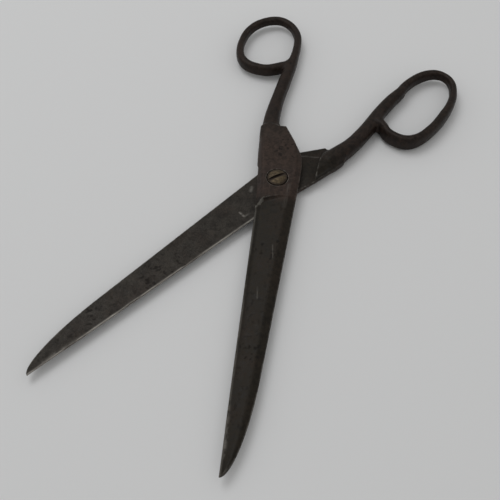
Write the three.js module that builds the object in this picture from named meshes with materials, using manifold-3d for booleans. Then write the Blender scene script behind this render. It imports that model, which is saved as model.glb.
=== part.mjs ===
// Tailor's shears: two forged halves that cross at a screw and turn on it.
//
// Millimetres. The table is z = 0 and the pivot axis is x = y = 0. +Y runs from the pivot to the bows, half
// way between the two shanks.
//
// Each half is first made in a frame of its own: the pivot axis is x = y = 0, the blade points along -Y
// with its cutting edge towards -X, the shank runs along +Y, and z = 0 is the ride plane, where the halves
// face each other. The upper half lies above the ride plane. The lower half is the same forging turned
// over, with a larger bow.

import * as THREE from "three";
import { mergeVertices } from "three/addons/utils/BufferGeometryUtils.js";
import Module from "manifold-3d";

// Driving dimensions
const RIDE_HEIGHT = 4.75;        // ride plane above the table
const RIDE_GAP = 0.15;           // each half stays this far off the ride plane
const REST_OPENING = 42.95;      // degrees between the halves as the shears lie
const PLATE_TOP = 4.75;          // outer face of the joint plate, from the ride plane

const BLADE_LENGTH = 143.5;      // pivot axis to tip
const EDGE_OFFSET = 8.7;         // pivot axis to the line of the cutting edge
const WIDTH_AT_PIVOT = 19.3;     // the blade's straight taper, carried back to the pivot
const TAPER = 0.077;             // width lost for each millimetre of length
const BELLY_START = 98;          // the spine starts to curve towards the tip here
const BELLY_POWER = 2.6;         // how full that curve is
const TIP_WIDTH = 0.35;
const EDGE_LAND = 0.8;           // height of the cutting edge's outer side
const EDGE_BEVEL = 2.2;          // width of the ground bevel behind the cutting edge
const RIDGE_HEIGHT = [4.75, 1.9];    // of the blade's long face at its ridge, at the pivot and at the tip
const RIDGE_INSET = [0.2, 0.32];     // spine to ridge, as a share of the width, at the pivot and at the tip
const FACE_FALL = 0.6;           // height of the bevel's and the spine's top, as a share of the ridge's

const PLATE_BULGE = 2.1;         // how far the plate's long side stands out beyond the cutting edge's line
const PLATE_BULGE_SPAN = [-20, 30];  // it grows between these distances along the half
const PLATE_ROUND_START = 4;     // past the pivot, the plate's other side curves inwards from here
const PLATE_ROUND_RADIUS = 52.8;
const PLATE_ROUND_LIMIT = 3;
const PLATE_BEVEL = [2.8, 1.3];      // width of the bevel along the plate's long side, from step to shank
const PLATE_BEVEL_SLOPE = 0.8;
const PLATE_BEVEL_DROP = 0.6;
const PLATE_CHAMFER = [3.6, 2.6];    // width of the chamfer along its other side
const PLATE_CHAMFER_FOOT = 2.9;
const STEP_TOP = [-15.4, -11.4, -10.5, -10.2];   // y of the step between plate and blade, from edge to spine
const STEP_FOOT = [-16.4, -12.3, -10.9, -10.6];

const PLATE_END = 33.3;          // the plate ends in a ledge beside the shank, this far past the pivot
const STOP_DISTANCE = 16.8;      // pivot axis to the plate's sloping end, by the other half's shoulder
const STOP_ANGLE = 27.8;         // degrees, direction of that end's normal
const SHOULDER_GAP = 0.3;        // left between that end and the other half's shoulder when closed
const SHOULDER_DEPTH = 4.2;      // how far the shank reaches past the ride plane at the shoulder
const SHOULDER_SIDE = -2.2;      // x of the shoulder's inner side
const SHOULDER_CHAMFER = 2;
const SHOULDER_RINGS = [36, 30, 25, 20, 15, 10];

const SCREW_RADIUS = 2.6;
const SCREW_CLEARANCE = 0.3;
const HEAD_RADIUS = 4.8;
const HEAD_TOP = 5.8;            // top of the dome, from the ride plane
const SEAT_DEPTH = 1.9;          // the head's seat, cut into the upper joint plate
const SLOT_WIDTH = 1.5;
const SLOT_DEPTH = 1.1;
const SLOT_ANGLE = 54;           // degrees from +X

// The shank's stations: x and y of its centre, then the bar's width and height.
const SHANK_ROOT = [
  [-6.2, 30, 9.4, 9.2],
  [-6.4, 36, 9, 8.8],
  [-6.2, 44, 8.2, 8.2],
];

// A bow continues its shank round an oval and ends against the shank, where it is welded. The oval's angles
// are counted from its shank side, and its squareness is given for its near and far end. The bar's rows are
// an angle, the width and the height. The weld's rows are stations that lead the bar's end into the shank.
const THUMB = {
  shank: [
    ...SHANK_ROOT, [-5, 54, 7.2, 7.7], [-3.5, 63, 6.8, 7.5], [-1.8, 72, 6.8, 7.2], [0.2, 82, 6, 6.6],
    [1.5, 90, 4.8, 6.2],
  ],
  centre: [-13.2, 97.5], half: [15, 20.5], squareness: [2.4, 1.9], lean: -13,
  bar: [[16, 4.6, 6], [60, 4.2, 5.2], [120, 4.2, 5.2], [180, 4, 6], [240, 5, 7], [300, 5, 7]],
  weld: [[-4.3, 80.2, 5, 6.8], [0.4, 83.8, 4.4, 6.2]],
};
const FINGER = {
  shank: [
    ...SHANK_ROOT, [-4.5, 54, 7.8, 7.8], [-2.3, 63, 7.6, 7.8], [0.4, 72, 6.8, 7.9], [2.2, 81, 6.4, 8],
    [3.2, 89, 5.4, 7.9],
  ],
  centre: [-10, 89.5], half: [13.2, 27], squareness: [2.6, 2.1], lean: -15,
  bar: [
    [12, 4.8, 7.2], [50, 4.4, 6.8], [90, 3.6, 5.6], [135, 4.2, 6.8], [180, 5.2, 8.2], [240, 5, 9],
    [298, 4.8, 9],
  ],
  weld: [[-4.6, 65.2, 4.6, 8.2], [-0.8, 68.2, 4.2, 7.2]],
};
const BAR_SQUARENESS = 2.6;
const OVAL_SPACING = 14;         // degrees between the oval's stations

const PATH_STEPS = 76;           // sections along one handle
const SECTION_SIDES = 14;
const JOIN_AT = 0.6;             // the two lofts of a handle meet at this share of its length

const wasm = await Module();
wasm.setup();

const { lerp, smoothstep, degToRad, radToDeg } = THREE.MathUtils;

// A BufferGeometry as a manifold solid.
function toSolid(geometry) {
  const bare = new THREE.BufferGeometry();
  bare.setAttribute("position", geometry.getAttribute("position").clone());
  if (geometry.index) bare.setIndex(geometry.index.clone());
  const merged = mergeVertices(bare, 1e-5);
  return new wasm.Manifold(new wasm.Mesh({
    numProp: 3,
    vertProperties: Float32Array.from(merged.getAttribute("position").array),
    triVerts: Uint32Array.from(merged.index.array),
  }));
}

// A manifold solid as a BufferGeometry.
function toGeometry(solid) {
  const mesh = solid.getMesh();
  const geometry = new THREE.BufferGeometry();
  geometry.setAttribute("position", new THREE.BufferAttribute(Float32Array.from(mesh.vertProperties), 3));
  geometry.setIndex(new THREE.BufferAttribute(Uint32Array.from(mesh.triVerts), 1));
  geometry.computeVertexNormals();
  return geometry;
}

// A closed skin through rings of equal length, with a flat cap at each end. It suits convex sections.
function loft(rings) {
  const sides = rings[0].length;
  const faces = [];
  for (let i = 0; i < rings.length - 1; i += 1) {
    const here = i * sides;
    const next = here + sides;
    for (let j = 0; j < sides; j += 1) {
      const k = (j + 1) % sides;
      faces.push(here + j, next + k, here + k, here + j, next + j, next + k);
    }
  }
  const last = (rings.length - 1) * sides;
  for (let j = 1; j < sides - 1; j += 1) {
    faces.push(0, j, j + 1, last, last + j + 1, last + j);
  }
  const points = rings.flat().flatMap((p) => [p.x, p.y, p.z]);
  const geometry = new THREE.BufferGeometry();
  geometry.setAttribute("position", new THREE.Float32BufferAttribute(points, 3));
  geometry.setIndex(faces);
  return toSolid(geometry);
}

function rod(radius, bottom, top) {
  const geometry = new THREE.CylinderGeometry(radius, radius, top - bottom, 32);
  geometry.rotateX(Math.PI / 2);
  geometry.translate(0, 0, (bottom + top) / 2);
  return toSolid(geometry);
}

// All space beyond a line in plan, up to z = top. The line is `distance` from the pivot axis; its normal,
// which points away from the kept side, has the angle given.
function beyond(distance, angle, outward, top) {
  const size = 200;
  const box = new THREE.BoxGeometry(size, size, size);
  box.translate(outward ? distance + size / 2 : distance - size / 2, 0, top - size / 2);
  box.rotateZ(degToRad(angle));
  return toSolid(box);
}

// Blade and joint plate -----------------------------------------------------------------------------------

// x of the spine side at a distance y along the half: the blade's taper, which rounds inwards past the
// pivot, and a belly that closes at the tip.
function spineX(y) {
  const belly = Math.max(0, (-y - BELLY_START) / (BLADE_LENGTH - BELLY_START));
  const closing = Math.sqrt(Math.max(0, 1 - belly ** BELLY_POWER));
  const width = Math.max((WIDTH_AT_PIVOT + TAPER * y) * closing, TIP_WIDTH);
  const inward = Math.max(0, y - PLATE_ROUND_START) ** 2 / (2 * PLATE_ROUND_RADIUS);
  return width - EDGE_OFFSET - Math.min(inward, PLATE_ROUND_LIMIT);
}

// x of the other side: the cutting edge, then the plate's long outer side.
function edgeX(y) {
  return -EDGE_OFFSET - PLATE_BULGE * smoothstep(y, ...PLATE_BULGE_SPAN);
}

// One section, from the flat inner face up the edge side and over to the spine. `y` may differ from point
// to point, because the plate ends in a step that runs askew.
function section(y, land, bevel, bevelTop, ridgeTop, spineTop, ridgeInset) {
  const edge = edgeX(y[0]);
  const spine = spineX(y[3]);
  return [
    new THREE.Vector3(edge, y[0], RIDE_GAP),
    new THREE.Vector3(edge, y[0], land),
    new THREE.Vector3(edgeX(y[1]) + bevel, y[1], bevelTop),
    new THREE.Vector3(spineX(y[2]) - ridgeInset, y[2], ridgeTop),
    new THREE.Vector3(spine, y[3], spineTop),
    new THREE.Vector3(spine, y[3], RIDE_GAP),
  ];
}

function plateSection(ys) {
  const bevel = lerp(...PLATE_BEVEL, smoothstep(ys[1], -16, PLATE_END));
  const inset = lerp(...PLATE_CHAMFER, smoothstep(ys[2], -16, 10));
  const land = PLATE_TOP - PLATE_BEVEL_DROP - PLATE_BEVEL_SLOPE * bevel;
  return section(ys, land, bevel, PLATE_TOP, PLATE_TOP, PLATE_CHAMFER_FOOT, inset);
}

function bladeSection(ys) {
  const along = Math.min(1, -ys[0] / BLADE_LENGTH);
  const width = spineX(ys[0]) + EDGE_OFFSET;
  const ridgeTop = lerp(...RIDGE_HEIGHT, along ** 0.8);
  const sideTop = FACE_FALL * ridgeTop;
  const bevel = Math.min(EDGE_BEVEL, 0.3 * width);
  const land = Math.min(EDGE_LAND, 0.45 * ridgeTop);
  return section(ys, land, bevel, sideTop, ridgeTop, sideTop, width * lerp(...RIDGE_INSET, along));
}

function bladeAndPlate() {
  const plateRings = [PLATE_END, 30, 25, 20, 15, 10, 4, -3].map((y) => plateSection([y, y, y, y]));
  const stepTop = plateSection(STEP_TOP);
  const stepFoot = bladeSection(STEP_FOOT);
  const straight = [25, 45, 65, 83, BELLY_START];
  const belly = [104, 110, 116, 121, 126, 130, 133.5, 136.5, 139, 141, 142.4, 143.1, BLADE_LENGTH];
  const bladeRings = [...straight, ...belly].map((distance) => bladeSection(Array(4).fill(-distance)));
  const body = loft([...plateRings, stepTop, stepFoot, ...bladeRings]);
  return body.subtract(beyond(STOP_DISTANCE, STOP_ANGLE, true, 100));
}

// Shoulder ------------------------------------------------------------------------------------------------

// The shank's root reaches past the ride plane. It starts at a line that the other half's sloping plate end
// comes to when the shears close.
function shoulder() {
  const chamfer = SHOULDER_CHAMFER;
  const rings = SHOULDER_RINGS.map((y) => {
    const left = edgeX(y) + 0.1;
    const outline = [
      [left, 1],
      [left, chamfer - SHOULDER_DEPTH],
      [left + chamfer, -SHOULDER_DEPTH],
      [SHOULDER_SIDE - chamfer, -SHOULDER_DEPTH],
      [SHOULDER_SIDE, chamfer - SHOULDER_DEPTH],
      [SHOULDER_SIDE, 1],
    ];
    return outline.map(([x, z]) => new THREE.Vector3(x, y, z)).reverse();
  });
  const closedHalfAngle = radToDeg(Math.asin(EDGE_OFFSET / BLADE_LENGTH));
  const normal = 180 - STOP_ANGLE - 2 * closedHalfAngle;
  return loft(rings).subtract(beyond(STOP_DISTANCE + SHOULDER_GAP, normal, false, RIDE_GAP));
}

// Shank and bow -------------------------------------------------------------------------------------------

// A rounded section across a bar: `side` points across it in plan.
function barSection(centre, side, width, height) {
  const bulge = (value) => Math.sign(value) * Math.abs(value) ** (2 / BAR_SQUARENESS);
  return Array.from({ length: SECTION_SIDES }, (_, i) => {
    const turn = (2 * Math.PI * i) / SECTION_SIDES;
    const point = centre.clone().addScaledVector(side, (bulge(Math.cos(turn)) * width) / 2);
    point.z = (bulge(Math.sin(turn)) * height) / 2;
    return point;
  });
}

function ovalPoint({ centre, half, squareness, lean }, degrees) {
  const turn = degToRad(degrees);
  const power = 2 / lerp(squareness[0], squareness[1], (1 + Math.sin(turn)) / 2);
  const bulge = (value) => Math.sign(value) * Math.abs(value) ** power;
  const point = new THREE.Vector3(half[0] * bulge(Math.cos(turn)), half[1] * bulge(Math.sin(turn)), 0);
  point.applyAxisAngle(new THREE.Vector3(0, 0, 1), degToRad(lean));
  return point.add(new THREE.Vector3(centre[0], centre[1], 0));
}

// The bar from the shank's root round the bow to its welded end, in two lofts because it meets itself
// there.
function handle(design) {
  const { shank, bar, weld } = design;
  const centres = [];
  const sizes = [];
  const addStation = ([x, y, width, height]) => {
    centres.push(new THREE.Vector3(x, y, 0));
    sizes.push(new THREE.Vector3(width, height, 0));
  };
  const addOvalStation = (degrees, width, height) => {
    const { x, y } = ovalPoint(design, degrees);
    addStation([x, y, width, height]);
  };
  shank.forEach(addStation);
  for (let i = 0; i < bar.length - 1; i += 1) {
    const [from, width, height] = bar[i];
    const [to, nextWidth, nextHeight] = bar[i + 1];
    const steps = Math.round((to - from) / OVAL_SPACING);
    for (let j = 0; j < steps; j += 1) {
      const t = j / steps;
      addOvalStation(lerp(from, to, t), lerp(width, nextWidth, t), lerp(height, nextHeight, t));
    }
  }
  addOvalStation(...bar.at(-1));
  weld.forEach(addStation);
  const path = new THREE.CatmullRomCurve3(centres);
  const size = new THREE.CatmullRomCurve3(sizes);
  const rings = Array.from({ length: PATH_STEPS + 1 }, (_, i) => {
    const t = path.getUtoTmapping(i / PATH_STEPS);
    const tangent = path.getTangent(t);
    const side = new THREE.Vector3(tangent.y, -tangent.x, 0);
    const here = size.getPoint(t);
    return barSection(path.getPoint(t), side, here.x, here.y);
  });
  const middle = Math.round(PATH_STEPS * JOIN_AT);
  return loft(rings.slice(0, middle + 1)).add(loft(rings.slice(middle)));
}

// Parts ---------------------------------------------------------------------------------------------------

function half(design) {
  const bore = rod(SCREW_RADIUS + SCREW_CLEARANCE, -20, 20);
  return bladeAndPlate().add(shoulder()).add(handle(design)).subtract(bore);
}

function screw() {
  const seat = PLATE_TOP - SEAT_DEPTH + SCREW_CLEARANCE;
  const rim = PLATE_TOP + 0.1;
  const profile = new THREE.Path();
  profile.moveTo(0, -RIDE_HEIGHT);
  profile.lineTo(SCREW_RADIUS, -RIDE_HEIGHT);
  profile.lineTo(SCREW_RADIUS, seat);
  profile.lineTo(HEAD_RADIUS, seat);
  profile.lineTo(HEAD_RADIUS, rim);
  profile.quadraticCurveTo(HEAD_RADIUS * 0.7, HEAD_TOP, 0, HEAD_TOP);
  const body = toSolid(new THREE.LatheGeometry(profile.getPoints(6), 32).rotateX(Math.PI / 2));
  const slot = new THREE.BoxGeometry(3 * HEAD_RADIUS, SLOT_WIDTH, 2 * SLOT_DEPTH);
  slot.translate(0, 0, HEAD_TOP);
  slot.rotateZ(degToRad(SLOT_ANGLE));
  return body.subtract(toSolid(slot));
}

function part(name, solid, color, roughness, metalness) {
  const material = new THREE.MeshStandardMaterial({ color, roughness, metalness });
  const mesh = new THREE.Mesh(toGeometry(solid), material);
  mesh.name = name;
  mesh.position.z = RIDE_HEIGHT;
  return mesh;
}

const IRON = 0x3a322f;
const BRASS = 0x7a6a50;

const screwSeat = rod(HEAD_RADIUS + SCREW_CLEARANCE, PLATE_TOP - SEAT_DEPTH, 20);
const upperHalf = part("upper_half", half(THUMB).subtract(screwSeat), IRON, 0.55, 0.7);
upperHalf.rotation.z = degToRad(REST_OPENING / 2);

const lowerHalf = part("lower_half", half(FINGER), IRON, 0.55, 0.7);
lowerHalf.rotation.set(0, Math.PI, degToRad(-REST_OPENING / 2), "ZYX");

const pivotScrew = part("pivot_screw", screw(), BRASS, 0.5, 0.8);

const shears = new THREE.Group();
shears.add(upperHalf, lowerHalf, pivotScrew);

export default shears;
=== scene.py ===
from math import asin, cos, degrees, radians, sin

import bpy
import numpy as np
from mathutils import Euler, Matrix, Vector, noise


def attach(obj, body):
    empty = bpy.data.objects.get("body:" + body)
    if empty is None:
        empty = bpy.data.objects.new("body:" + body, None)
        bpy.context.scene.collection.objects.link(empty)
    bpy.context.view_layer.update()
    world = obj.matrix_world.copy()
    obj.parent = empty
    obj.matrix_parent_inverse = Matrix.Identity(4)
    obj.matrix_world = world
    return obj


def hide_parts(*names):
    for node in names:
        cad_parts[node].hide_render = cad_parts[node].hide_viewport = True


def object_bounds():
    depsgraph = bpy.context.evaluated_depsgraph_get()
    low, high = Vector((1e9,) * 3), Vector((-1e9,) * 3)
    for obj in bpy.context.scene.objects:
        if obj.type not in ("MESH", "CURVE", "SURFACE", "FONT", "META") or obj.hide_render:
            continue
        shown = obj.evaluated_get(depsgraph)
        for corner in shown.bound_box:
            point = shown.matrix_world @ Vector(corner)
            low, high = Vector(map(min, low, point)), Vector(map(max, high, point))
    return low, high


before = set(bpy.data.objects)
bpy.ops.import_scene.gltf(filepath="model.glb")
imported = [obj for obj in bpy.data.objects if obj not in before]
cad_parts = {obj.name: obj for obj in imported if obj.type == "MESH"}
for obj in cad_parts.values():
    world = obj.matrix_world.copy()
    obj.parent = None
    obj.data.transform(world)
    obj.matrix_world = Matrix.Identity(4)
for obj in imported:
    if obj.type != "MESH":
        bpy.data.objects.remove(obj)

# Looks for a pair of forged tailor's shears.
#
# The two halves and the screw are shaped as fields: functions that are negative inside the metal. skin() turns a
# field into a mesh. Each half is shaped in its own frame, in millimetres: the pivot axis is x = y = 0, the blade
# points along -Y with its cutting edge towards -X, the shank runs along +Y, and z = 0 is the ride plane, where the
# halves face each other. The upper half lies above the ride plane, and the lower half is turned over.

CAD_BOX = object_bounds()
MM = 0.001

# Driving dimensions, in millimetres and degrees ---------------------------------------------------------------

RIDE_HEIGHT = 4.75
RIDE_GAP = 0.15
REST_OPENING = 42.95
PLATE_TOP = 4.75

BLADE_LENGTH = 143.5
EDGE_OFFSET = 8.7
WIDTH_AT_PIVOT = 19.3
TAPER = 0.077
BELLY_START = 98
BELLY_POWER = 2.6
SLOPE_STEP = 0.05              # half the length over which the spine's slope is taken
TIP_WIDTH = 0.35
EDGE_LAND = 0.8
EDGE_BEVEL = 2.2
LAND_SHARE = 0.45              # most that the land takes of the ridge's height
BEVEL_SHARE = 0.3              # most that the bevel takes of the blade's width
RIDGE_HEIGHT = (4.75, 1.9)     # at the pivot and at the tip
RIDGE_FALL = 0.8               # power of its fall between the two
RIDGE_PLACE = (0.2, 0.32)      # from the spine, as a share of the width, at the pivot and at the tip
SHOULDER_HEIGHT = 0.6          # of the blade's shoulders, as a share of the ridge's
HOLLOW = 0.22                  # depth of the hollow ground into the blade's inner face
HOLLOW_START = (16, 34)        # distances from the pivot over which the hollow begins
HOLLOW_WIDTHS = (2, 8)         # widths of the blade over which the hollow begins, from the tip

PLATE_BULGE = 2.1
BULGE_RANGE = (-20, 30)
PLATE_ROUND_START = 4
PLATE_ROUND_RADIUS = 52.8
PLATE_ROUND_LIMIT = 3
PLATE_END = 33.3
PLATE_BEVEL = (2.8, 1.3)       # its width, at the blade and at the shank
BEVEL_RANGE = (-16, 30)
BEVEL_DROP = 0.6
BEVEL_SLOPE = 0.8
PLATE_CHAMFER = (3.6, 2.6)     # its width, at the blade and past the pivot
CHAMFER_RANGE = (-16, 10)
CHAMFER_FOOT = 2.9
SINK_DEPTH = 1.6               # how far the plate's outer corner falls towards the shank
SINK_START = 22
SINK_SIDE = (-7.5, -2.5)
STEP_LINE_X = [-9.3, -7.2, -6.0, -5.1, -2.6, 1.8, 9.9]
STEP_LINE_Y = [-15.6, -14.9, -13.6, -12.6, -11.6, -10.5, -10.1]
STEP_LEAN = 0.45               # how far the step's face leans towards the blade, per mm down
STEP_SCALE = 0.9               # brings the step's field near to a true distance
STOP_DISTANCE = 16.8
STOP_ANGLE = 27.8
SHOULDER_GAP = 0.3
SHOULDER_DEPTH = 4.2
SHOULDER_SIDE = -2.2
SHOULDER_CHAMFER = 2.0
SHOULDER_INSET = 0.1
SHOULDER_RANGE = (10, 36)
SHOULDER_TOP = 1
SHOULDER_SINKING = (22, 36)    # where the shoulder goes down into the round shank
SINKING_SIDE = 1.2
SINKING_FOOT = 1.8
CLOSED_HALF_ANGLE = degrees(asin(EDGE_OFFSET / BLADE_LENGTH))

SCREW_RADIUS = 2.6
SCREW_CLEARANCE = 0.3
HEAD_RADIUS = 4.8
HEAD_TOP = 5.8
HEAD_RIM = PLATE_TOP + 0.1
SEAT_DEPTH = 1.9
SHAFT_OVERLAP = 1              # how far the shaft reaches up into the head
HEAD_DOME_POWER = 2.2
SLOT_WIDTH = 1.5
SLOT_DEPTH = 1.1
SLOT_ANGLE = 54

# Radii of worn edges, where two faces of the metal meet.
WORN = {
    "land": 0.35, "ridge": 0.5, "plate_bevel": 0.9, "plate_chamfer": 0.8, "step": 0.6, "edge": 0.3, "spine": 0.35,
    "plate_end": 0.5, "tip": 0.2, "stop": 0.45, "ride": 0.25, "shoulder": 0.3, "shoulder_slant": 0.5, "recess": 0.1,
    "outer": 0.2, "hole": 0.2, "seat": 0.25, "rim": 0.35, "head_foot": 0.2, "slot": 0.1, "slot_lip": 0.2,
    "screw_end": 0.3, "screw_top": 0.2,
}
# Radii of fillets, where two bodies of the metal grow together. A bow's fillet is full at the weld and ends within
# the distances from it that are given.
FILLET = {"plate": 1.1, "shank": 2.8, "shoulder": 2.0, "weld": 2.4, "past_weld": 0.02, "head": 0.3}
WELD_REACH = (9, 15)

BAR_INSET = 0.2                # the bars' lumps come out from this far below their plain section
SHANK_SHARE = (0, 0.62)        # the part of a handle's stations that makes the shank's field, and the bow's
BOW_SHARE = (0.58, 1)

# What the hammer, rust and wear left, in millimetres. Noise has a wavelength and a seed.
NOISE = {"coarse": (9.0, 1), "middling": (3.2, 2), "fine": (1.3, 3)}
HANDLE_LUMPS = (0.13, 0.07)    # of coarse and of middling noise
PLATE_LUMPS = (0.05, 0.03)
PIT_DEPTH = {"handle": 0.06, "outer": 0.04, "pitted": 0.09}
PIT_LEVELS = (0.32, 0.6)

# Grid lines: place, step, place, step ... place.
HALF_GRID_X = (-36, 0.31, 13)
HALF_GRID_Y = (-145, 0.33, -120, 0.5, -20, 0.34, 124)
HALF_GRID_Z = (-5.9, 0.3, 5.9)
SCREW_GRID_STEP = 0.13

# The shank's stations: x and y of its centre, then the bar's width and height.
SHANK_ROOT = [[-6.2, 30, 9.4, 9.2], [-6.4, 36, 9, 8.8], [-6.2, 44, 8.2, 8.2]]
# A bow continues its shank round an oval and ends against the shank, where it is welded. The oval's angles are
# counted from its shank side. The bar's rows are an angle, the width and the height. The weld's rows are
# stations that lead the bar's end into the shank.
THUMB = {
    "shank": SHANK_ROOT + [[-5, 54, 7.2, 7.7], [-3.5, 63, 6.8, 7.5], [-1.8, 72, 6.8, 7.2], [0.2, 82, 6, 6.6],
                           [1.5, 90, 4.8, 6.2]],
    "centre": (-13.2, 97.5), "half": (15, 20.5), "squareness": (2.4, 1.9), "lean": -13,
    "bar": [[16, 4.6, 6], [60, 4.2, 5.2], [120, 4.2, 5.2], [180, 4, 6], [240, 5, 7], [300, 5, 7]],
    "weld": [[-4.3, 80.2, 5, 6.8], [-0.6, 83.2, 3.6, 5]],
}
FINGER = {
    "shank": SHANK_ROOT + [[-4.5, 54, 7.8, 7.8], [-2.3, 63, 7.6, 7.8], [0.4, 72, 6.8, 7.9], [2.2, 81, 6.4, 8],
                           [3.2, 89, 5.4, 7.9]],
    "centre": (-10, 89.5), "half": (13.2, 27), "squareness": (2.6, 2.1), "lean": -15,
    "bar": [[12, 4.8, 7.2], [50, 4.4, 6.8], [90, 3.6, 5.6], [135, 4.2, 6.8], [180, 5.2, 8.2], [240, 5, 9],
            [298, 4.8, 9]],
    "weld": [[-4.6, 65.2, 4.6, 8.2], [-1.4, 67.8, 3.6, 5.6]],
}

# Marks on each half: how bright its cutting edge is, strokes of bright metal with their two ends, width and
# strength, and pitted places, each with its centre and radius. Most strokes are worn metal; two on the upper half
# are a painted highlight along the plate's step.
UPPER_WEAR = {
    "edge": 0.3,
    "scratches_and_highlights": [
        ((6, -4), (4.8, -16.5), 2.6, 0.12),
        # A painted highlight along the rounded lip at the left end of the plate's step.
        ((-8.6, -16.4), (-6.8, -15.2), 1.6, 0.9),
        ((-6.8, -15.2), (-5.4, -13.4), 1.2, 0.7),
        ((-3, -60), (-2.4, -66), 0.8, 0.25),
        ((1.5, -38), (2.2, -45), 0.8, 0.2),
    ],
    "pits": [(0, -40, 9), (-2, -92, 8), (2, 18, 9)],
}
LOWER_WEAR = {
    "edge": 0.85,
    "scratches_and_highlights": [
        ((-1.4, -24.6), (-4.8, -24.5), 1.1, 0.8),
        ((-4.8, -24.5), (-4.8, -21.3), 1, 0.6),
        ((4.8, -12.4), (6.2, -10.6), 2.6, 0.35),
        ((5.1, 20.8), (-1, 26.6), 1.1, 0.2),
        ((4, 22.5), (0.2, 25), 1, 0.15),
        ((8.4, -36), (8.1, -52), 0.8, 0.4),
        ((5, -92), (3.4, -112), 1.0, 0.5),
    ],
    "pits": [(-4.5, -64, 8), (-4, -76, 9), (-2.3, 23.4, 1.6), (1, -110, 8)],
}


# Fields ------------------------------------------------------------------------------------------------------

def smoothstep(x, low, high):
    t = np.clip((x - low) / (high - low), 0, 1)
    return t * t * (3 - 2 * t)


def lerp(a, b, t):
    return a + (b - a) * t


def join(a, b, radius):
    """Both shapes, with a fillet where they meet."""
    blend = np.clip(0.5 + 0.5 * (b - a) / radius, 0, 1)
    return b + (a - b) * blend - radius * blend * (1 - blend)


def common(a, b, radius):
    """What the two shapes have in common, with the edge between them worn round."""
    return -join(-a, -b, radius)


def above(x, z, x1, z1, x2, z2):
    """Distance above the line from (x1, z1) to (x2, z2), which runs towards +X."""
    return ((x2 - x1) * (z - z1) - (z2 - z1) * (x - x1)) / np.hypot(x2 - x1, z2 - z1)


def beyond(x, y, distance, angle):
    """Distance past a line in plan, whose normal has the angle given."""
    return x * cos(radians(angle)) + y * sin(radians(angle)) - distance


def spine_x(y):
    """The blade's taper, which rounds inwards past the pivot, and a belly that closes at the tip."""
    belly = np.clip((-y - BELLY_START) / (BLADE_LENGTH - BELLY_START), 0, 1)
    width = np.maximum((WIDTH_AT_PIVOT + TAPER * y) * np.sqrt(1 - belly**BELLY_POWER), TIP_WIDTH)
    inward = np.maximum(0, y - PLATE_ROUND_START) ** 2 / (2 * PLATE_ROUND_RADIUS)
    return width - EDGE_OFFSET - np.minimum(inward, PLATE_ROUND_LIMIT)


def edge_x(y):
    """The cutting edge, then the plate's long outer side."""
    return -EDGE_OFFSET - PLATE_BULGE * smoothstep(y, *BULGE_RANGE)


def blade_top(x, y, z):
    """The blade's outer side: ground bevel, long face and spine chamfer."""
    along = np.clip(-y / BLADE_LENGTH, 0, 1)
    edge, spine = edge_x(y), spine_x(y)
    width = spine + EDGE_OFFSET
    ridge_top = lerp(*RIDGE_HEIGHT, along**RIDGE_FALL)
    bevel = np.minimum(EDGE_BEVEL, BEVEL_SHARE * width)
    land = np.minimum(EDGE_LAND, LAND_SHARE * ridge_top)
    ridge = spine - width * lerp(*RIDGE_PLACE, along)
    shoulder_top = SHOULDER_HEIGHT * ridge_top
    bevel_face = above(x, z, edge, land, edge + bevel, shoulder_top)
    long_face = above(x, z, edge + bevel, shoulder_top, ridge, ridge_top)
    chamfer = above(x, z, ridge, ridge_top, spine, shoulder_top)
    return common(common(bevel_face, long_face, WORN["land"]), chamfer, WORN["ridge"])


def plate_top(x, y, z):
    """The joint plate's outer side, which ends towards the blade in a step that runs askew."""
    edge, spine = edge_x(y), spine_x(y)
    bevel = lerp(*PLATE_BEVEL, smoothstep(y, *BEVEL_RANGE))
    ridge = spine - lerp(*PLATE_CHAMFER, smoothstep(y, *CHAMFER_RANGE))
    top = z - PLATE_TOP + SINK_DEPTH * smoothstep(y, SINK_START, PLATE_END) * (1 - smoothstep(x, *SINK_SIDE))
    strip = above(x, z, edge, PLATE_TOP - BEVEL_DROP - BEVEL_SLOPE * bevel, edge + bevel, PLATE_TOP)
    chamfer = above(x, z, ridge, PLATE_TOP, spine, CHAMFER_FOOT)
    step_line = np.interp(x, STEP_LINE_X, STEP_LINE_Y)
    step = STEP_SCALE * (step_line - y - STEP_LEAN * (PLATE_TOP - z))
    face = common(common(top, strip, WORN["plate_bevel"]), chamfer, WORN["plate_chamfer"])
    return common(face, step, WORN["step"])


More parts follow.
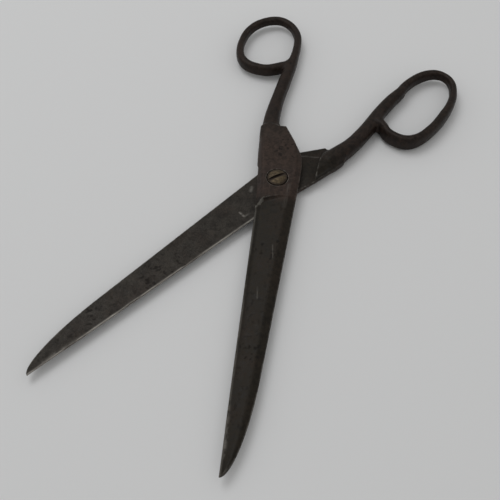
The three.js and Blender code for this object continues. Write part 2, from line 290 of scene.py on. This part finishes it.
class Bar:
    """A bar of rounded section along a smooth curve in plan. Its stations are rows of x, y, width and height."""

    SAMPLES = 14       # between two stations
    SQUARENESS = 2.6   # power of the section's outline; 2 is an ellipse
    CELL = 0.5         # of the map in plan that gives the nearest sample
    MARGIN = 12        # of that map around the bar
    LEAST = 1e-3       # keeps divisions away from zero

    def __init__(self, stations, start, end):
        rows = smooth_curve(np.array(stations, float), self.SAMPLES)
        first, last = round(start * (len(rows) - 1)), round(end * (len(rows) - 1))
        self.rows = rows[first:last + 1]
        self.low = self.rows[:, :2].min(axis=0) - self.MARGIN
        high = self.rows[:, :2].max(axis=0) + self.MARGIN
        self.size = np.ceil((high - self.low) / self.CELL).astype(int) + 1
        cells = np.stack(np.meshgrid(*map(np.arange, self.size), indexing="ij"), axis=-1)
        grid = self.low + self.CELL * cells
        gaps = [((column[:, None, :] - self.rows[None, :, :2]) ** 2).sum(axis=-1) for column in grid]
        self.nearest = np.array([gap.argmin(axis=1) for gap in gaps])

    def field(self, x, y, z):
        spot = [np.clip(np.rint((v - low) / self.CELL).astype(int), 0, count - 1)
                for v, low, count in zip((x, y), self.low, self.size)]
        index = self.nearest[tuple(np.broadcast_arrays(*spot))]
        best, width, height = np.inf, 1.0, 1.0
        for shift in (-1, 0):
            i = np.clip(index + shift, 0, len(self.rows) - 2)
            a, b = self.rows[i], self.rows[i + 1]
            run = b - a
            length = run[..., 0] ** 2 + run[..., 1] ** 2
            t = ((x - a[..., 0]) * run[..., 0] + (y - a[..., 1]) * run[..., 1]) / length
            t = np.clip(t, 0, 1)
            gap = np.hypot(x - a[..., 0] - t * run[..., 0], y - a[..., 1] - t * run[..., 1])
            closer = gap < best
            best = np.where(closer, gap, best)
            width = np.where(closer, a[..., 2] + t * run[..., 2], width)
            height = np.where(closer, a[..., 3] + t * run[..., 3], height)
        n = self.SQUARENESS
        across, upright = 2 * best / width, 2 * np.abs(z) / height
        reach = np.maximum((across**n + upright**n) ** (1 / n), self.LEAST)
        slope = np.hypot((across / reach) ** (n - 1) * 2 / width, (upright / reach) ** (n - 1) * 2 / height)
        return (reach - 1) / np.maximum(slope, self.LEAST)


def smooth_curve(rows, samples):
    """A centripetal Catmull-Rom curve through the rows, whose first two columns are x and y."""
    padded = np.vstack([2 * rows[0] - rows[1], rows, 2 * rows[-1] - rows[-2]])
    points = []
    for a, b, c, d in zip(padded, padded[1:], padded[2:], padded[3:]):
        before, here, after = (np.hypot(*(q - p)[:2]) ** 0.5 for p, q in ((a, b), (b, c), (c, d)))
        leaving = ((b - a) / before - (c - a) / (before + here) + (c - b) / here) * here
        coming = ((c - b) / here - (d - b) / (here + after) + (d - c) / after) * here
        for t in np.arange(samples) / samples:
            points.append(b + leaving * t + (3 * (c - b) - 2 * leaving - coming) * t**2
                          + (leaving + coming - 2 * (c - b)) * t**3)
    return np.array(points + [rows[-1]])


def oval_point(design, angle):
    """The place on a bow's leaning oval at an angle. Its squareness differs between the near and the far end."""
    turn = radians(angle)
    near, far = design["squareness"]
    power = 2 / lerp(near, far, (1 + sin(turn)) / 2)
    x = design["half"][0] * np.sign(cos(turn)) * abs(cos(turn)) ** power
    y = design["half"][1] * np.sign(sin(turn)) * abs(sin(turn)) ** power
    lean = radians(design["lean"])
    return [design["centre"][0] + x * cos(lean) - y * sin(lean), design["centre"][1] + x * sin(lean) + y * cos(lean)]


def bar_stations(design):
    """A handle's stations: the shank's, then those round the bow, about `spacing` degrees apart, then the weld's."""
    spacing = 14
    stations = [list(row) for row in design["shank"]]
    for (start, width, height), (end, next_width, next_height) in zip(design["bar"], design["bar"][1:]):
        steps = round((end - start) / spacing)
        for t in np.arange(steps) / steps:
            size = [lerp(width, next_width, t), lerp(height, next_height, t)]
            stations.append(oval_point(design, lerp(start, end, t)) + size)
    angle, width, height = design["bar"][-1]
    stations.append(oval_point(design, angle) + [width, height])
    return stations + design["weld"]


def shoulder_block(x, y, z):
    """The block below the plate that stops the other half. It sinks into the shank behind it."""
    sinking = smoothstep(y, *SHOULDER_SINKING)
    left = edge_x(y) + SHOULDER_INSET + SINKING_SIDE * sinking
    bottom = SINKING_FOOT * sinking - SHOULDER_DEPTH
    sides = common(left - x, x - SHOULDER_SIDE, WORN["shoulder"])
    slant = SHOULDER_CHAMFER + SINKING_SIDE * sinking + bottom
    slants = np.maximum(left + slant - x - z, x - z - SHOULDER_SIDE + slant) / 2**0.5
    block = common(common(sides, bottom - z, WORN["shoulder"]), slants, WORN["shoulder_slant"])
    start, end = SHOULDER_RANGE
    ends = np.maximum(np.maximum(y - end, start - y), z - SHOULDER_TOP)
    return common(block, ends, WORN["shoulder"])


def half_field(design, seat):
    """One forged half. `seat` is true for the half that the screw's head sits in."""
    stations = bar_stations(design)
    shank = Bar(stations, *SHANK_SHARE)
    bow = Bar(stations, *BOW_SHARE)

    def field(x, y, z):
        edge, spine = edge_x(y), spine_x(y)
        slope = (spine_x(y + SLOPE_STEP) - spine_x(y - SLOPE_STEP)) / (2 * SLOPE_STEP)
        spine_side = (x - spine) / np.sqrt(1 + slope**2)
        middle = (x - edge) / np.maximum(spine - edge, 0.5)
        hollow = HOLLOW * np.clip(4 * middle * (1 - middle), 0, 1) * smoothstep(-y, *HOLLOW_START)
        hollow = hollow * smoothstep(spine - edge, *HOLLOW_WIDTHS)
        inner = RIDE_GAP + hollow - z
        top = join(blade_top(x, y, z), plate_top(x, y, z), FILLET["plate"])
        body = common(top, edge - x, WORN["edge"])
        body = common(body, spine_side, WORN["spine"])
        body = common(body, y - PLATE_END, WORN["plate_end"])
        body = common(body, -BLADE_LENGTH - y, WORN["tip"])
        body = common(body, beyond(x, y, STOP_DISTANCE, STOP_ANGLE), WORN["stop"])
        body = common(body, inner, WORN["ride"])

        metal = join(body, shank.field(x, y, z) + BAR_INSET, FILLET["shank"])
        from_weld = np.hypot(x - design["weld"][0][0], y - design["weld"][0][1])
        fillet = lerp(FILLET["weld"], FILLET["past_weld"], smoothstep(from_weld, *WELD_REACH))
        metal = join(metal, bow.field(x, y, z) + BAR_INSET, fillet)
        metal = join(metal, shoulder_block(x, y, z), FILLET["shoulder"])
        normal = 180 - STOP_ANGLE - 2 * CLOSED_HALF_ANGLE
        room = common(z - RIDE_GAP, beyond(x, y, STOP_DISTANCE + SHOULDER_GAP, normal), WORN["recess"])
        metal = common(metal, -room, WORN["ride"])
        metal = common(metal, z - PLATE_TOP, WORN["outer"])
        metal = common(metal, -z - PLATE_TOP, WORN["outer"])

        radius = np.hypot(x, y)
        metal = common(metal, SCREW_RADIUS + SCREW_CLEARANCE - radius, WORN["hole"])
        if seat:
            socket = np.maximum(radius - HEAD_RADIUS - SCREW_CLEARANCE, PLATE_TOP - SEAT_DEPTH - z)
            metal = common(metal, -socket, WORN["seat"])
        return metal

    return field


def from_slot(x, y):
    """Distance in plan from the middle line of the screw's slot."""
    return np.abs(-x * sin(radians(SLOT_ANGLE)) + y * cos(radians(SLOT_ANGLE)))


def screw_field(x, y, z):
    radius = np.hypot(x, y)
    dome = z - HEAD_TOP + (HEAD_TOP - HEAD_RIM) * (radius / HEAD_RADIUS) ** HEAD_DOME_POWER
    head = common(dome, radius - HEAD_RADIUS, WORN["rim"])
    head = common(head, PLATE_TOP - SEAT_DEPTH + SCREW_CLEARANCE - z, WORN["head_foot"])
    slot = common(from_slot(x, y) - SLOT_WIDTH / 2, HEAD_TOP - SLOT_DEPTH - z, WORN["slot"])
    head = common(head, -slot, WORN["slot_lip"])
    shaft = common(radius - SCREW_RADIUS, -RIDE_HEIGHT - z, WORN["screw_end"])
    shaft = common(shaft, z - PLATE_TOP + SEAT_DEPTH - SHAFT_OVERLAP, WORN["screw_top"])
    return join(head, shaft, FILLET["head"])


# Meshes ------------------------------------------------------------------------------------------------------

def skin(field, xs, ys, zs):
    """The surface where the field is zero, as corners and four-sided faces, one corner per crossed cell."""
    values = field(xs[:, None, None], ys[None, :, None], zs[None, None, :])
    inside = values < 0
    counts = np.array(values.shape) - 1
    corners = list(np.ndindex(2, 2, 2))
    filled = sum(inside[tuple(slice(c, c + n) for c, n in zip(corner, counts))].astype(int) for corner in corners)
    cells = np.argwhere((filled > 0) & (filled < 8))
    number = np.full(filled.shape, -1)
    number[tuple(cells.T)] = np.arange(len(cells))
    total, hits = np.zeros(cells.shape), np.zeros(len(cells))
    for corner in corners:
        for axis in range(3):
            if corner[axis]:
                continue
            start = cells + corner
            end = start.copy()
            end[:, axis] += 1
            a, b = values[tuple(start.T)], values[tuple(end.T)]
            crossed = (a < 0) != (b < 0)
            place = start[crossed].astype(float)
            place[:, axis] += a[crossed] / (a[crossed] - b[crossed])
            total[crossed] += place
            hits[crossed] += 1
    grid = total / hits[:, None]
    points = np.stack([np.interp(grid[:, k], np.arange(len(v)), v) for k, v in enumerate((xs, ys, zs))], axis=1)
    faces = []
    for axis in range(3):
        u, v = (axis + 1) % 3, (axis + 2) % 3
        starts = np.argwhere(np.diff(inside, axis=axis))
        starts = starts[(starts[:, u] > 0) & (starts[:, v] > 0)]
        starts = starts[(starts[:, u] < counts[u]) & (starts[:, v] < counts[v])]
        ring = []
        for du, dv in ((0, 0), (-1, 0), (-1, -1), (0, -1)):
            cell = starts.copy()
            cell[:, u] += du
            cell[:, v] += dv
            ring.append(number[tuple(cell.T)])
        ring = np.stack(ring, axis=1)
        outward = inside[tuple(starts.T)]
        faces.append(ring[outward])
        faces.append(ring[~outward][:, ::-1])
    return points, np.vstack(faces)


def settle(field, points):
    """Moves the points onto the field's zero surface, and gives them with their unit normals."""
    rounds = 3
    step = 0.02          # half the length over which the field's slope is taken
    least_slope = 0.3
    longest_move = 0.1
    for turn in range(rounds + 1):
        slope = np.empty(points.shape)
        for axis in range(3):
            shift = np.zeros(3)
            shift[axis] = step
            slope[:, axis] = (field(*(points + shift).T) - field(*(points - shift).T)) / (2 * step)
        size = np.linalg.norm(slope, axis=1, keepdims=True)
        normals = slope / np.maximum(size, 1e-6)
        if turn < rounds:
            move = field(*points.T)[:, None] / np.maximum(size, least_slope)
            points = points - np.clip(move, -longest_move, longest_move) * normals
    return points, normals


def roundness(field, points, reach):
    """How strongly the surface curves outwards at each point, in 1/mm; hollows are negative."""
    total = -6 * field(*points.T)
    for axis in range(3):
        shift = np.zeros(3)
        shift[axis] = reach
        total = total + field(*(points + shift).T) + field(*(points - shift).T)
    return total / reach**2


def ripple(points, wavelength, seed):
    """Smooth noise from -1 to 1 over the points. Each seed reads the noise at another place."""
    offset = Vector((seed * 17.3, seed * 5.1, seed * 9.7))
    return np.array([noise.noise(Vector(p) / wavelength + offset) for p in points])


def stroke(points, ends, width):
    """1 along a line in plan between two ends, falling to 0 at half its width."""
    a, b = np.array(ends[0], float), np.array(ends[1], float)
    t = np.clip((points[:, :2] - a) @ (b - a) / ((b - a) @ (b - a)), 0, 1)
    gap = np.linalg.norm(points[:, :2] - a - t[:, None] * (b - a), axis=1)
    return 1 - smoothstep(gap, 0, width / 2)


def strokes(points, lines):
    """The strongest of several strokes. A line is its two ends, its width and its strength."""
    return np.max([strength * stroke(points, (start, end), width) for start, end, width, strength in lines], axis=0)


def put_mesh(name, points, faces, tilt, masks):
    """A mesh where its half lies. Its corners keep their place in the half's own frame, in millimetres."""
    turned = (points @ np.array(tilt.to_matrix()).T + (0, 0, RIDE_HEIGHT)) * MM
    turned = np.clip(turned, CAD_BOX[0], CAD_BOX[1])
    mesh = bpy.data.meshes.new(name)
    mesh.from_pydata(turned.tolist(), [], faces.tolist())
    mesh.shade_smooth()
    own = mesh.attributes.new("own_place", "FLOAT_VECTOR", "POINT")
    own.data.foreach_set("vector", points.astype(np.float32).ravel())
    for mask, values in masks.items():
        mesh.attributes.new(mask, "FLOAT", "POINT").data.foreach_set("value", values.astype(np.float32))
    piece = bpy.data.objects.new(name, mesh)
    bpy.context.collection.objects.link(piece)
    return piece


def spaced(*stops):
    """Grid lines through the stops: place, step, place, step ... place."""
    lines = [np.array([float(stops[0])])]
    for start, step, end in zip(stops[::2], stops[1::2], stops[2::2]):
        lines.append(np.linspace(start, end, round((end - start) / step) + 1)[1:])
    return np.concatenate(lines)


def make_half(name, design, seat, tilt, wear):
    """One half's mesh: the metal's surface, raised and pitted, with masks that its material reads."""
    field = half_field(design, seat)
    points, faces = skin(field, spaced(*HALF_GRID_X), spaced(*HALF_GRID_Y), spaced(*HALF_GRID_Z))
    points, normals = settle(field, points)
    x, y, z = points.T
    curve = roundness(field, points, 0.5)

    handle = smoothstep(y, 30, 44)
    outer_side = smoothstep(z, 0.6, 1.6) * (1 - handle)
    blade = smoothstep(-y, 14, 20)
    coarse, middling, fine = (ripple(points, *NOISE[size]) for size in ("coarse", "middling", "fine"))
    pitting = smoothstep(fine + 0.5 * middling, *PIT_LEVELS)
    pitted = np.max([1 - smoothstep(np.hypot(x - px, y - py), 0.4 * r, r) for px, py, r in wear["pits"]], axis=0)
    lumps = sum(side * (large * coarse + small * middling)
                for side, (large, small) in ((handle, HANDLE_LUMPS), (outer_side, PLATE_LUMPS)))
    depth = pitting * (PIT_DEPTH["handle"] * handle + PIT_DEPTH["outer"] * outer_side
                       + PIT_DEPTH["pitted"] * pitted * (1 - handle))
    points = points + (lumps - depth)[:, None] * normals

    edge = edge_x(y)
    edge_band = (1 - smoothstep(x - edge, 0.3, 1.2)) * blade
    # The strokes include the painted highlight along the upper plate's step.
    scratches_and_highlights = strokes(points, wear["scratches_and_highlights"])
    masks = {
        "round": curve,
        "handle": smoothstep(y, 20, 44),
        "plate": smoothstep(y, -15, -9) * (1 - smoothstep(y, 20, 44)) * smoothstep(z, 0.6, 1.6),
        "bright": np.maximum(edge_band * wear["edge"], scratches_and_highlights),
        "ground": (1 - smoothstep(z, 0.4, 0.9)) * (1 - smoothstep(y, 6, 18)),
        "pits": np.clip(pitting * (0.5 + pitted), 0, 1),
    }
    return put_mesh(name, points, faces, tilt, masks)


def screw_grime_and_shade(x, y, z):
    """Dirt and painted shade: dark in and beside the slot, and in a ring round the head's rim for a rust ring and
    the shade round the head.
    """
    slot = 1 - smoothstep(from_slot(x, y), SLOT_WIDTH / 2 - 0.05, SLOT_WIDTH / 2 + 0.45)
    rim = smoothstep(np.hypot(x, y), HEAD_RADIUS - 1.5, HEAD_RADIUS - 0.1)
    return np.maximum(slot, rim)


def make_screw(name):
    span = HEAD_RADIUS + 0.4
    across = spaced(-span, SCREW_GRID_STEP, span)
    upright = spaced(-RIDE_HEIGHT - 0.3, SCREW_GRID_STEP, HEAD_TOP + 0.3)
    points, faces = skin(screw_field, across, across, upright)
    points, _ = settle(screw_field, points)
    masks = {
        "round": roundness(screw_field, points, 0.2),
        "grime_and_shade": screw_grime_and_shade(*points.T),
    }
    return put_mesh(name, points, faces, Euler(), masks)


# Materials ---------------------------------------------------------------------------------------------------

class Paint:
    """A node material, built by short calls. A value is a number, a colour or another node's socket."""

    def __init__(self, name):
        self.material = bpy.data.materials.new(name)
        self.material.use_nodes = True
        self.tree = self.material.node_tree
        self.shader = self.tree.nodes["Principled BSDF"]
        self.spot = self.node("ShaderNodeAttribute", attribute_name="own_place").outputs["Vector"]

    def node(self, kind, **settings):
        node = self.tree.nodes.new(kind)
        for key, value in settings.items():
            setattr(node, key, value)
        return node

    def feed(self, socket, value):
        if isinstance(value, bpy.types.NodeSocket):
            self.tree.links.new(value, socket)
        else:
            socket.default_value = value

    def scaled(self, vector, scale):
        node = self.node("ShaderNodeVectorMath", operation="MULTIPLY")
        self.feed(node.inputs[0], vector)
        self.feed(node.inputs[1], scale)
        return node.outputs[0]

    def mask(self, name):
        return self.node("ShaderNodeAttribute", attribute_name=name).outputs["Fac"]

    def noise(self, per_mm, detail=4.0, roughness=0.55, stretch=(1, 1, 1), warp=0.0):
        node = self.node("ShaderNodeTexNoise")
        self.feed(node.inputs["Vector"], self.scaled(self.spot, stretch))
        self.feed(node.inputs["Scale"], per_mm)
        self.feed(node.inputs["Detail"], detail)
        self.feed(node.inputs["Roughness"], roughness)
        self.feed(node.inputs["Distortion"], warp)
        return node.outputs["Fac"]

    def span(self, value, low, high, to_low=0.0, to_high=1.0):
        node = self.node("ShaderNodeMapRange", interpolation_type="SMOOTHSTEP")
        for socket, given in zip(node.inputs, (value, low, high, to_low, to_high)):
            self.feed(socket, given)
        return node.outputs[0]

    def math(self, operation, a, b=0.0):
        node = self.node("ShaderNodeMath", operation=operation)
        self.feed(node.inputs[0], a)
        self.feed(node.inputs[1], b)
        return node.outputs[0]

    def mix(self, share, a, b):
        node = self.node("ShaderNodeMix", data_type="RGBA")
        self.feed(node.inputs["Factor"], share)
        self.feed(node.inputs["A"], a)
        self.feed(node.inputs["B"], b)
        return node.outputs["Result"]

    def bump(self, height, distance, strength, below=None):
        node = self.node("ShaderNodeBump")
        self.feed(node.inputs["Height"], height)
        self.feed(node.inputs["Distance"], distance)
        self.feed(node.inputs["Strength"], strength)
        if below is not None:
            self.feed(node.inputs["Normal"], below)
        return node.outputs[0]


def rgb(r, g, b):
    return (r, g, b, 1.0)


# Linear colours. A pair is the dark and the light end of a mottled surface.
BLADE_FACE = (rgb(0.0095, 0.0077, 0.0052), rgb(0.0215, 0.017, 0.0118))
GRIP = (rgb(0.0105, 0.0072, 0.0058), rgb(0.029, 0.019, 0.0148))
GROUND_FACE = (rgb(0.015, 0.0125, 0.0102), rgb(0.047, 0.041, 0.034))
JOINT_PLATE = (rgb(0.023, 0.0155, 0.0122), rgb(0.053, 0.0355, 0.0285))
RUST = rgb(0.034, 0.019, 0.012)
PIT_DIRT = rgb(0.007, 0.0055, 0.005)
BARE_IRON = rgb(0.3, 0.285, 0.26)
BRASS = (rgb(0.052, 0.037, 0.02), rgb(0.12, 0.088, 0.047))
BARE_BRASS = rgb(0.3, 0.25, 0.17)
# Dark brown for dirt, and for the painted shade in the screw's slot and round its rim.
GRIME_AND_SHADE = rgb(0.02, 0.012, 0.008)
PAPER = rgb(0.79, 0.8, 0.815)


def iron(name):
    """Blackened forged iron: mottled brown-black scale, thin rust, and paler metal where it has worn, with a painted
    highlight along the upper plate's step.
    """
    p = Paint(name)
    brushing = (1.0, 0.12, 1.0)
    fine_bump, coarse_bump, brushed_bump = 0.00006, 0.00014, 0.00003
    patches = p.noise(0.07, 3)
    mottle = p.noise(0.45, 7, 0.7, warp=0.6)
    specks = p.noise(2.2, 5, 0.75)
    grain = p.noise(0.5, 6, 0.7, stretch=brushing)
    handle = p.mask("handle")
    cover = p.span(mottle, 0.36, 0.66)
    blade = p.mix(cover, *BLADE_FACE)
    grip = p.mix(cover, *GRIP)
    stain = p.math("ADD", p.math("MULTIPLY", p.noise(0.16, 4, 0.6), 0.35), p.math("MULTIPLY", specks, 0.65))
    ground = p.mix(p.span(stain, 0.38, 0.66), *GROUND_FACE)
    joint = p.mix(cover, *JOINT_PLATE)
    base = p.mix(p.mask("plate"), p.mix(handle, blade, grip), joint)
    base = p.mix(p.mask("ground"), base, ground)
    rust = p.math("MULTIPLY", p.span(patches, 0.44, 0.64), p.span(specks, 0.45, 0.62))
    base = p.mix(p.math("MULTIPLY", rust, 0.5), base, RUST)
    pits = p.mask("pits")
    base = p.mix(p.math("MULTIPLY", pits, 0.6), base, PIT_DIRT)
    scuffed = p.span(p.noise(0.35, 5, 0.7), 0.4, 0.62)
    ridges = p.math("MULTIPLY", p.span(p.mask("round"), 0.4, 1.8), scuffed)
    # Bright metal: the worn cutting edge, scratches, and the painted highlight along the upper plate's step.
    bright = p.math("MULTIPLY", p.mask("bright"), p.span(grain, 0.34, 0.56))
    wear_and_highlight = p.math("MAXIMUM", p.math("MULTIPLY", ridges, 0.35), bright)
    base = p.mix(wear_and_highlight, base, BARE_IRON)
    p.feed(p.shader.inputs["Base Color"], base)
    p.feed(p.shader.inputs["Metallic"], p.span(wear_and_highlight, 0.0, 1.0, 0.2, 0.7))
    p.shader.inputs["Specular IOR Level"].default_value = 0.18
    rough = p.span(mottle, 0.3, 0.7, 0.36, 0.58)
    p.feed(p.shader.inputs["Roughness"], p.math("ADD", rough, p.math("MULTIPLY", pits, 0.2)))
    brushed = p.bump(grain, brushed_bump, 0.5)
    coarse = p.bump(mottle, coarse_bump, 0.6, brushed)
    p.feed(p.shader.inputs["Normal"], p.bump(specks, fine_bump, 0.6, coarse))
    return p.material


def brass(name):
    """Dull brass, dark in the slot and round the rim with dirt and painted shade."""
    p = Paint(name)
    mottle = p.noise(0.9, 5, 0.65)
    base = p.mix(p.span(mottle, 0.35, 0.7), *BRASS)
    base = p.mix(p.span(p.mask("round"), 0.6, 3.0, 0.0, 0.5), base, BARE_BRASS)
    # Dirt and painted shade in and beside the slot and round the head's rim.
    base = p.mix(p.math("MULTIPLY", p.mask("grime_and_shade"), 0.93), base, GRIME_AND_SHADE)
    p.feed(p.shader.inputs["Base Color"], base)
    p.shader.inputs["Metallic"].default_value = 0.6
    p.feed(p.shader.inputs["Roughness"], p.span(mottle, 0.3, 0.75, 0.6, 0.42))
    p.feed(p.shader.inputs["Normal"], p.bump(p.noise(3.0, 4, 0.7), 0.00006, 0.6))
    return p.material


def paper(name):
    p = Paint(name)
    p.shader.inputs["Base Color"].default_value = PAPER
    p.shader.inputs["Roughness"].default_value = 0.9
    p.shader.inputs["Specular IOR Level"].default_value = 0.2
    return p.material


# Stage -------------------------------------------------------------------------------------------------------

# Metres, degrees and watts; the lens is in millimetres.
FLOOR_REACH = 8.0
CAMERA_AZIMUTH = 27.925
CAMERA_ELEVATION = 55.8
CAMERA_DISTANCE = 0.3478
CAMERA_LENS = 54.72
AIM_ASIDE = (0.00864, -0.02302)    # where the camera aims on the floor, from the middle of the shears
SKY_COLOUR = (1.0, 0.99, 0.965)
SKY_STRENGTH = 0.485
SOFTBOX = {"azimuth": 250, "elevation": 64, "distance": 1.3, "size": 0.8, "power": 3.7}


def add_floor():
    reach = FLOOR_REACH
    low = CAD_BOX[0][2]
    mesh = bpy.data.meshes.new("floor")
    mesh.from_pydata([(-reach, -reach, low), (reach, -reach, low), (reach, reach, low), (-reach, reach, low)],
                     [], [(0, 1, 2, 3)])
    mesh.materials.append(paper("pale_floor"))
    floor = bpy.data.objects.new("floor", mesh)
    bpy.context.collection.objects.link(floor)


def direction(azimuth, elevation):
    """Unit vector from the object towards a viewer or lamp. Azimuth 0 is in front, at -Y, and 90 at +X."""
    a, e = radians(azimuth), radians(elevation)
    return Vector((sin(a) * cos(e), -cos(a) * cos(e), sin(e)))


def add_camera():
    middle = (Vector(CAD_BOX[0]) + Vector(CAD_BOX[1])) / 2
    target = Vector((middle.x + AIM_ASIDE[0], middle.y + AIM_ASIDE[1], CAD_BOX[0][2]))
    away = direction(CAMERA_AZIMUTH, CAMERA_ELEVATION)
    camera = bpy.data.objects.new("camera", bpy.data.cameras.new("camera"))
    camera.data.lens = CAMERA_LENS
    camera.location = target + CAMERA_DISTANCE * away
    camera.rotation_euler = away.to_track_quat("Z", "Y").to_euler()
    bpy.context.collection.objects.link(camera)
    bpy.context.scene.camera = camera


def add_lamp(name, azimuth, elevation, distance, size, power):
    lamp = bpy.data.objects.new(name, bpy.data.lights.new(name, "AREA"))
    lamp.data.shape = "DISK"
    lamp.data.size = size
    lamp.data.energy = power
    away = direction(azimuth, elevation)
    lamp.location = distance * away
    lamp.rotation_euler = away.to_track_quat("Z", "Y").to_euler()
    bpy.context.collection.objects.link(lamp)


def add_light():
    world = bpy.data.worlds.new("studio")
    bpy.context.scene.world = world
    world.use_nodes = True
    sky = world.node_tree.nodes["Background"]
    sky.inputs["Color"].default_value = rgb(*SKY_COLOUR)
    sky.inputs["Strength"].default_value = SKY_STRENGTH
    add_lamp("softbox", **SOFTBOX)
    bpy.context.scene.view_settings.view_transform = "Standard"


# Assembly ----------------------------------------------------------------------------------------------------

def stand_for(piece, node, body, paint):
    piece.data.materials.append(paint)
    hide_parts(node)
    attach(piece, body)


add_camera()
add_light()
add_floor()

iron_paint = iron("forged_iron_worn")
upper_tilt = Euler((0, 0, radians(REST_OPENING / 2)))
lower_tilt = Euler((0, radians(180), radians(-REST_OPENING / 2)))
upper = make_half("upper_half_forging", THUMB, True, upper_tilt, UPPER_WEAR)
lower = make_half("lower_half_forging", FINGER, False, lower_tilt, LOWER_WEAR)
screw = make_screw("pivot_screw_brass")
stand_for(upper, "upper_half", "upper", iron_paint)
stand_for(lower, "lower_half", "lower", iron_paint)
stand_for(screw, "pivot_screw", "lower", brass("screw_brass_dull"))
